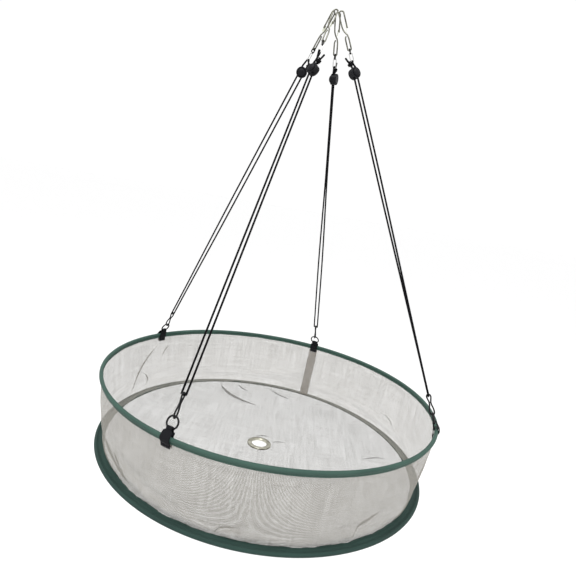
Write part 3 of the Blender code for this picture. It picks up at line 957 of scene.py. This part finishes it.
class Hanger:
    """A hanger's own axes: X along the hoop, Y outwards and Z up the taut line."""

    def __init__(self, name):
        self.name = name
        (_, self.at_lock, self.at_top, self.lock_turn, self.knot_side, self.lock_z,
         self.hook_turn) = HANGERS[name]
        joints = {j["name"]: j for j in frame["joints"]}
        ring = joints[name + "_ring_swing"]
        hook = joints[name + "_hook_swing"]
        self.x = -Vector(ring["axis"])
        self.z = (Vector(hook["pos_m"]) - Vector(ring["pos_m"])).normalized()
        self.y = self.z.cross(self.x)
        self.base = Vector(ring["pos_m"]) - self.z * TUNNEL_Z

    def at(self, x, y, z):
        return self.base + self.x * x + self.y * y + self.z * z

    def matrix(self, height, degrees=0.0, tilt=0.0):
        """World matrix of a frame on the line, turned about the line and then tilted about X."""
        axes = Matrix((self.x, self.y, self.z)).transposed().to_4x4()
        axes.translation = self.base + self.z * height
        turn = Matrix.Rotation(math.radians(degrees), 4, "Z")
        return axes @ turn @ Matrix.Rotation(math.radians(tilt), 4, "X")

    def turned(self, offset, degrees, z):
        a = math.radians(degrees)
        return self.at(offset * math.cos(a), offset * math.sin(a), z)

    def strand(self, side, z):
        """A strand's middle at a height; the two twist round each other on their way up."""
        start = self.lock_z + STRANDS_PART
        lower = self.at_lock * ease((z - 0.100) / 0.500)
        upper = (self.at_top - self.at_lock) * ease((z - start) / (CORD_BEND_Z - start))
        return self.turned(side * STRAND, lower + upper, z)


def ease(x):
    x = min(max(x, 0), 1)
    return x * x * (3 - 2 * x)


def cord_route(hanger):
    """From the tail through the knot, down one strand, round the link and up the other."""
    side = hanger.knot_side
    lock_z = hanger.lock_z
    lock_top = lock_z + LOCK_TOP
    knot_z = lock_z + KNOT_RISE
    low_z = CORD_BASE + STRAND
    points = [hanger.turned(side * x, hanger.at_lock, z) for x, z in
              ((0.0165, knot_z + 0.0130), (0.0135, knot_z + 0.0085), (0.0103, knot_z + 0.0042),
               (KNOT_OUT, knot_z), (0.0056, knot_z - 0.0033))]
    heights = [lock_top, lock_z, 0.735, 0.680, 0.625, 0.580, 0.535, 0.490, 0.445, 0.400,
               0.355, 0.310, 0.265, 0.220, 0.175, 0.125, low_z]
    points += [hanger.strand(side, z) for z in heights]
    points += [hanger.at(side * x, 0, z) for x, z in arc((0, low_z), STRAND, 0, -180, 7)[1:-1]]
    points += [hanger.strand(-side, z) for z in reversed(heights)]
    middle = (lock_top + CORD_BEND_Z) / 2
    inward = (STRAND + TOP_BEND_R) / 2 / STRAND
    line = hanger.at(0, 0, middle)
    points.append(line.lerp(hanger.strand(-side, middle), inward))
    points += [hanger.turned(side * x, hanger.at_top, z)
               for x, z in arc((0, CORD_BEND_Z), TOP_BEND_R, 180, 0, 7)]
    between = (hanger.at_lock + hanger.at_top) / 2
    points.append(hanger.turned(side * 0.0062, between, knot_z + 0.0020))
    return points


def cord(hanger, mats):
    name = hanger.name
    path = curve_points(cord_route(hanger), 5)
    line = tube(name + "_braided_cord", path, CORD_R, mats["cord"], 14)
    finish_piece(line, name + "_cord", "cord", name + "_cord")
    side = hanger.knot_side
    knot_z = hanger.lock_z + KNOT_RISE
    middle = hanger.turned(side * KNOT_OUT, hanger.at_lock, knot_z)
    axis = (hanger.turned(side * 0.0110, hanger.at_lock, knot_z + 0.0045) - middle).normalized()
    wide = axis.orthogonal().normalized()
    deep = axis.cross(wide)
    wraps = []
    steps = 43
    for i in range(steps + 1):
        t = i / steps
        turn = math.tau * 2.4 * t
        r = 0.0031 + 0.0004 * math.sin(math.pi * t)
        wraps.append(middle + axis * (0.0078 * (t - 0.5) + 0.0006 * math.sin(turn * 0.5))
                     + wide * r * math.cos(turn) + deep * r * math.sin(turn))
    knot = tube(name + "_cord_knot", wraps, CORD_R * 0.92, mats["cord"], 12)
    finish_piece(knot, name + "_cord", "cord")


def upright(points):
    return [Vector((x, 0, z)) for x, z in points]


def lower_link_path():
    side = [(0.0022, LOWER_BASE + 0.0006), (0.0041, LOWER_BASE + 0.0030), (0.0045, 0.0415),
            (0.0038, 0.0480), (0.0022, 0.0545), (0.00175, 0.0585), (0.0019, 0.0622),
            (0.0033, 0.0675), (0.0041, 0.0720), (0.0038, 0.0752), (0.0020, LOWER_TOP - 0.0004)]
    right = [(0, y, z) for y, z in side]
    left = [(0, -y, z) for y, z in reversed(side)]
    return curve_points([(0, 0, LOWER_BASE)] + right + [(0, 0, LOWER_TOP)] + left, 4, True)


def oval_path(half, base, top, count=18):
    low = arc((0, base + half), half, 180, 360, count)
    return upright(low + arc((0, top - half), half, 0, 180, count))


def hook_path():
    eye = 0.0035
    knots = [(0.0014, 0.8375), (0.0029, 0.8345), (eye, 0.8300)]
    knots += arc((0, HOOK_BASE + eye), eye, 0, -180, 9)
    knots += [(-eye, 0.8300), (-0.0029, 0.8355), (-0.0019, 0.8400), (0.0010, 0.8450),
              (BOW_R - 0.0004, 0.8560)]
    knots += arc((0, BOW_TOP - BOW_R), BOW_R, 0, 180, 11)
    knots += [(-BOW_R, 0.8570), (-BOW_R - 0.0006, 0.8535)]
    return curve_points(upright(knots), 4)


def placed(obj, matrix):
    obj.data.transform(matrix)
    return obj


def links(hanger, mats):
    """The ring, the three links and the hook with its gate."""
    name = hanger.name
    circle = upright(arc((0, RING_Z), RING_R, 0, 354, 60))
    thin = oval_path(0.0032, UPPER_BASE, UPPER_TOP)
    short = oval_path(0.0033, BLACK_BASE, BLACK_TOP)
    rows = [
        ("ring", "ring", "tab_ring", circle, RING_WIRE_R, 14, "black steel", 0),
        ("figure_eight_link", "lower_link", "lower_link", lower_link_path(), LOWER_WIRE_R, 14,
         "black steel", 0),
        ("oval_link", "upper_link", "upper_link", thin, UPPER_WIRE_R, 12, "thin wire",
         hanger.at_top + 90),
        ("short_link", "black_link", "black_link", short, BLACK_WIRE_R, 12, "black steel",
         hanger.at_top),
        ("wire_hook", "hook", "snap_hook", hook_path(), HOOK_WIRE_R, 14, "bright steel",
         hanger.hook_turn),
    ]
    for piece, body, node, path, radius, sides, paint, turn in rows:
        closed = piece != "wire_hook"
        slot = "blackened_steel" if paint == "black steel" else "bright_steel"
        wire = tube(f"{name}_{piece}", path, radius, mats[paint], sides, closed)
        placed(wire, hanger.matrix(0, turn))
        finish_piece(wire, f"{name}_{body}", slot, f"{name}_{node}")
    # The gate's pale colour is a painted highlight.
    gate = placed(gate_leaf(name, mats["gate"]), hanger.matrix(GATE_Z, hanger.hook_turn))
    finish_piece(gate, name + "_gate", "gate_steel", name + "_hook_gate")


def gate_leaf(name, material):
    """A pressed leaf, rounded at its tip and crowned along its middle."""
    wide = 0.0025
    thick = 0.00028
    rows = []
    for i in range(15):
        t = i / 14
        half = wide * math.sqrt(max(1 - max(t - 0.80, 0) ** 2 / 0.0450, 0.05))
        z = 0.0006 + 0.0122 * t
        x = -0.0019 - z * math.tan(math.radians(6))
        crown = 0.00012 * math.sin(math.pi * t)
        front = [(x - thick - crown * (1 - (y / wide) ** 2), y) for y in
                 (-half, -half * 0.5, 0, half * 0.5, half)]
        back = [(x + thick, y) for y in (half, half * 0.5, 0, -half * 0.5, -half)]
        rows.append([Vector((px, py, z)) for px, py in front + back])
    return mesh_object(name + "_gate_leaf", lambda s, uv: add_capped_sweep(s, uv, rows), material,
                       False)


def lock_body(material):
    """A round cup with a rolled rim, ribs round its side and two cord holes."""
    outline = [(0.0115, 0.0042), (0.0115, -0.0078), (0.0103, -0.0086), (0.0001, -0.0086),
               (0.0001, -0.0072), (0.0086, -0.0072), (0.0086, 0.0048), (0.0109, 0.0048)]
    body = turned("lock_body_shape", rounded(outline[::-1], 0.0007, 3), 96, material)
    for vert in body.data.vertices:
        reach = vert.co.xy.length
        if reach > 0.0106 and -0.0076 < vert.co.z < 0.0040:
            rib = 0.00022 * abs(math.sin(math.atan2(vert.co.y, vert.co.x) * 24))
            vert.co.xy *= 1 - rib / reach
    for x in (-STRAND, STRAND):
        bpy.ops.mesh.primitive_cylinder_add(vertices=32, radius=0.0024, depth=0.03,
                                            location=(x, 0, 0), rotation=(math.pi / 2, 0, 0))
        drill(body, bpy.context.object)
    return body


def lock_button(material):
    outline = [(0.0001, 0.0096), (0.0045, 0.0091), (0.0069, 0.0077), (0.0082, 0.0057),
               (0.0082, -0.0032), (0.0001, -0.0032)]
    button = turned("lock_button_shape", rounded(outline[::-1], 0.0009, 4), 96, material)
    for vert in button.data.vertices:
        reach = vert.co.xy.length
        if vert.co.z > 0.006 and reach > 0.0010:
            vert.co.z -= 0.00025 * (0.5 + 0.5 * math.cos(reach / 0.0082 * math.tau * 4))
    bpy.ops.mesh.primitive_cube_add(size=1, location=(0, 0, 0.00125))
    cutter = bpy.context.object
    cutter.scale = (0.0142, 0.03, 0.0071)
    drill(button, cutter)
    return button


def drill(obj, cutter):
    hole = obj.modifiers.new("hole", "BOOLEAN")
    hole.operation = "DIFFERENCE"
    hole.object = cutter
    baked(obj)
    bpy.data.objects.remove(cutter)


def cord_locks(hangers, mats):
    """One body and one button are shaped, and each hanger gets its own copy."""
    body = lock_body(mats["plastic"])
    button = lock_button(mats["plastic"])
    for obj in (body, button):
        obj.data.shade_smooth()
        obj.data.set_sharp_from_angle(angle=math.radians(40))
    for hanger in hangers:
        name = hanger.name
        matrix = hanger.matrix(hanger.lock_z, hanger.at_lock + hanger.lock_turn, -90)
        cup = placed(linked(name + "_lock_cup", body.data.copy()), matrix)
        press = placed(linked(name + "_lock_plunger", button.data.copy()), matrix)
        finish_piece(cup, name + "_lock", "black_plastic", name + "_lock_body")
        finish_piece(press, name + "_button", "black_plastic", name + "_lock_button")
        spring = placed(tube(name + "_spring_coil", spring_path(), 0.0004, mats["spring"], 8),
                        matrix)
        finish_piece(spring, name + "_lock", "spring_steel", name + "_lock_spring")
        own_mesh(spring)
    bpy.data.objects.remove(body)
    bpy.data.objects.remove(button)


def spring_path():
    low, high = -0.0065, -0.0039
    count = 60
    turns = 2.5
    return [polar(0.005, math.tau * turns * i / count, low + (high - low) * i / count)
            for i in range(count + 1)]


def webbing_line():
    """The tab's middle line: up the outside, round the ring's fold and down the inside."""
    lean = Matrix.Rotation(-math.atan2(HOOP_R - MEET_R, -TOP_Z) - SLOPE, 3, "X")
    neck = TUBE_R + 0.0017
    outside = [(0.0024, -0.0170), (0.0026, -0.0135), (0.0031, -0.0095), (neck, -0.0030),
               (neck, 0.0030)]
    inside = [(-y, z) for y, z in reversed(outside)]
    fold = [(y, TUNNEL_Z + z) for y, z in arc((0, 0), FOLD_R, -35, 215, 9)]
    fold = [SHOULDER] + fold + [(-SHOULDER[0], SHOULDER[1])]
    start = [lean @ Vector((0, y, z)) for y, z in outside]
    end = [lean @ Vector((0, y, z)) for y, z in inside]
    return curve_points(start + [Vector((0, y, z)) for y, z in fold] + end, 4)


def webbing_tab(hanger, mats):
    name = hanger.name
    line = webbing_line()
    frames = path_frames(line, False)
    across = [i / 8 - 1 for i in range(17)]
    rows = []
    for point, (tangent, _, _) in zip(line, frames):
        side = Vector((1, 0, 0))
        out = tangent.cross(side).normalized()
        narrow = ease((point.z - SHOULDER[1]) / 0.004)
        half = WEBBING_HALF + (WEBBING_NECK - WEBBING_HALF) * narrow
        thick = [WEBBING_THICK * (1 - abs(a) ** 6 * 0.7) for a in across]
        face = [point + side * half * a + out * t for a, t in zip(across, thick)]
        back = [point + side * half * a - out * t for a, t in zip(across, thick)]
        rows.append(face + back[::-1])

    def build(shape, uv):
        add_capped_sweep(shape, uv, rows)
        spots = across + across[::-1]
        for face in shape.faces:
            for loop in face.loops:
                row, k = divmod(loop.vert.index, len(spots))
                loop[uv].uv = (row * 0.0012, spots[k] * WEBBING_HALF)

    tab = placed(mesh_object(name + "_webbing", build, mats["webbing"]), hanger.matrix(0))
    finish_piece(tab, "tray_top", "webbing", name + "_webbing_tab")

    def sew(shape, uv):
        reach = Vector((0.0009, 0, 0))
        for k in (2, 9, len(line) - 3, len(line) - 10):
            out = frames[k][0].cross(Vector((1, 0, 0))).normalized()
            for i in range(-3, 4):
                middle = line[k] + Vector((i * 0.0026, 0, 0)) + out * (WEBBING_THICK + 0.00012)
                ends = [middle - reach - out * 0.0004, middle - reach * 0.6,
                        middle + reach * 0.6, middle + reach - out * 0.0004]
                add_tube(shape, uv, ends, 0.00026, 5)

    sewn = placed(mesh_object(name + "_webbing_stitches", sew, mats["black thread"]),
                  hanger.matrix(0))
    finish_piece(sewn, "tray_top", "webbing")


def materials():
    made = {
        # Both hems are the same green binding tape: the top one's colours are lifted as a painted
        # highlight,
        "tape": tape_material("binding tape with painted highlight", (0.016, 0.038, 0.031), (0.036, 0.078, 0.062),
                              (0.078, 0.145, 0.116)),
        # and the lower hem's copy is darkened as painted shade.
        "tape painted as shade": tape_material("binding tape in painted shade", (0.010, 0.025, 0.021),
                                  (0.018, 0.043, 0.036), (0.036, 0.076, 0.064)),
        "netting": mesh_material("grey netting", NET_PITCH, NET_COVER, (0.31, 0.295, 0.265)),
        # The floor's netting is the wall's netting with its tint darkened as painted shade.
        "netting darkened as painted shade": mesh_material("netting darkened as painted shade", NET_PITCH, NET_COVER,
                                       (0.185, 0.18, 0.165)),
        "seam": mesh_material("doubled netting", 0.0011, 0.66, (0.28, 0.255, 0.225)),
        "webbing": webbing_material(),
        "cord": cord_material(),
        "plastic": plastic_material(),
    }
    metals = {
        "black steel": ("black oxide steel", (0.006, 0.006, 0.007), (0.018, 0.018, 0.020), 0.42, 0.7),
        # The hook's zinc plated wire is darkened as a painted dark reflection.
        "bright steel": ("zinc plated wire", (0.07, 0.07, 0.055), (0.22, 0.22, 0.185), 0.36, 1.0),
        "thin wire": ("bright thin wire", (0.34, 0.34, 0.33), (0.60, 0.60, 0.58), 0.28, 1.0),
        # The gate leaf's pale cream colour is a painted highlight on plated steel.
        "gate": ("plated leaf with painted highlight", (0.52, 0.54, 0.44), (0.72, 0.74, 0.62), 0.42, 0.7),
        # The grommet's nickel is its own grey, darkened further as painted shade.
        "nickel": ("nickel plate", (0.30, 0.29, 0.23), (0.55, 0.54, 0.46), 0.24, 1.0),
        "spring": ("spring steel", (0.30, 0.30, 0.31), (0.50, 0.50, 0.51), 0.34, 1.0),
    }
    threads = {
        "green thread": ((0.03, 0.08, 0.06), (0.07, 0.16, 0.12)),
        "grey thread": ((0.20, 0.19, 0.17), (0.40, 0.38, 0.35)),
        "black thread": ((0.008, 0.008, 0.009), (0.04, 0.04, 0.044)),
    }
    made.update((key, metal_material(*facts)) for key, facts in metals.items())
    made.update((key, thread_material(key, *tones)) for key, tones in threads.items())
    return made


def main():
    camera()
    studio()
    mats = materials()
    hangers = [Hanger(name) for name in HANGERS]
    for hanger in hangers:
        cord(hanger, mats)
        links(hanger, mats)
        webbing_tab(hanger, mats)
    cord_locks(hangers, mats)
    build_tray(mats)


main()
